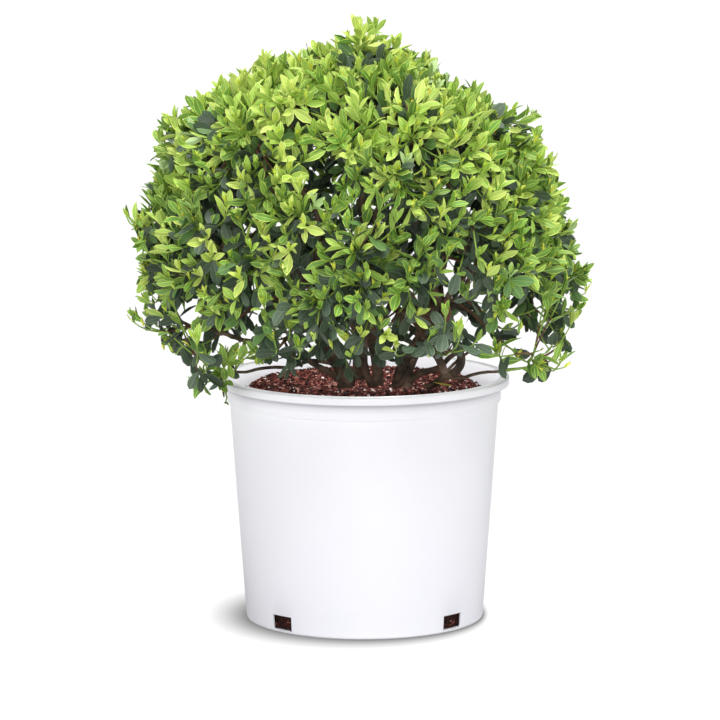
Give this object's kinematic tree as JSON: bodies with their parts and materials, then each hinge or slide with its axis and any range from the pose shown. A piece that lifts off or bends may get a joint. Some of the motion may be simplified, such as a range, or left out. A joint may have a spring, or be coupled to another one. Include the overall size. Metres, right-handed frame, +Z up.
{
  "type": "potted holly shrub",
  "caption": "Dense rounded evergreen shrub with small oval leaves on a clump of woody stems, growing in a plain round nursery pot with a rolled lip.",
  "frame": {"origin": "middle of the flat underside of the pot, which stands on the ground", "axes": "+Z up, -Y towards the front of the picture, +X to its right"},
  "size_m": [0.4771, 0.4544, 0.599],
  "materials": {
    "pot": "satin white moulded plastic",
    "potting_mix": "rough dark red-brown bark chips with white specks",
    "bark": "grey-brown bark",
    "foliage": "soft satin green leaves"
  },
  "bodies": {
    "root": {"pot": "pot", "potting_mix": "potting_mix", "bough_low_left": "bark", "bough_low_right": "bark", "bough_side_1": "bark", "bough_side_2": "bark", "bough_side_3": "bark", "bough_side_4": "bark", "bough_side_5": "bark", "bough_side_6": "bark", "bough_side_7": "bark", "bough_skirt_1": "bark", "bough_skirt_2": "bark", "bough_skirt_3": "bark", "bough_skirt_4": "bark", "bough_skirt_5": "bark", "bough_skirt_6": "bark", "bough_top": "bark", "bough_upper_1": "bark", "bough_upper_2": "bark", "bough_upper_3": "bark", "bough_upper_4": "bark", "bough_upper_5": "bark", "stem_back": "bark", "stem_left": "bark", "stem_middle": "bark", "stem_right": "bark", "stem_slender": "bark", "foliage_low_left": "foliage", "foliage_low_right": "foliage", "foliage_side_1": "foliage", "foliage_side_2": "foliage", "foliage_side_3": "foliage", "foliage_side_4": "foliage", "foliage_side_5": "foliage", "foliage_side_6": "foliage", "foliage_side_7": "foliage", "foliage_skirt_1": "foliage", "foliage_skirt_2": "foliage", "foliage_skirt_3": "foliage", "foliage_skirt_4": "foliage", "foliage_skirt_5": "foliage", "foliage_skirt_6": "foliage", "foliage_top": "foliage", "foliage_upper_1": "foliage", "foliage_upper_2": "foliage", "foliage_upper_3": "foliage", "foliage_upper_4": "foliage", "foliage_upper_5": "foliage"}
  },
  "joints": []
}
